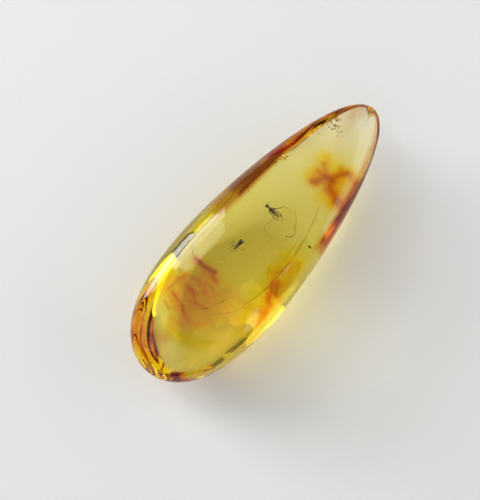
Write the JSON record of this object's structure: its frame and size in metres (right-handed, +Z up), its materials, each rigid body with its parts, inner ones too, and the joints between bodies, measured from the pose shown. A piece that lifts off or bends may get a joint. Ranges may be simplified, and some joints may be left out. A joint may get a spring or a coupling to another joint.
{
  "type": "gnat in amber",
  "caption": "Polished drop of clear amber with small gnats sealed inside, lying on a small flat spot, to rest on a shelf, a tray or in a display box.",
  "frame": {"origin": "under the middle of the drop's box, level with the flat spot it rests on", "axes": "+X along the length, from the fat end to the tip; +Y to the long side whose rim lies higher; +Z up, away from the resting surface"},
  "size_m": [0.036, 0.0134, 0.0101],
  "materials": {
    "clear_amber": "clear yellow amber with a hand-polished surface",
    "dark_chitin": "dark brown insect skin, dull"
  },
  "bodies": {
    "root": {"amber_upper": "clear_amber", "amber_lower": "clear_amber", "gnat": "dark_chitin", "small_gnat": "dark_chitin"}
  },
  "joints": []
}
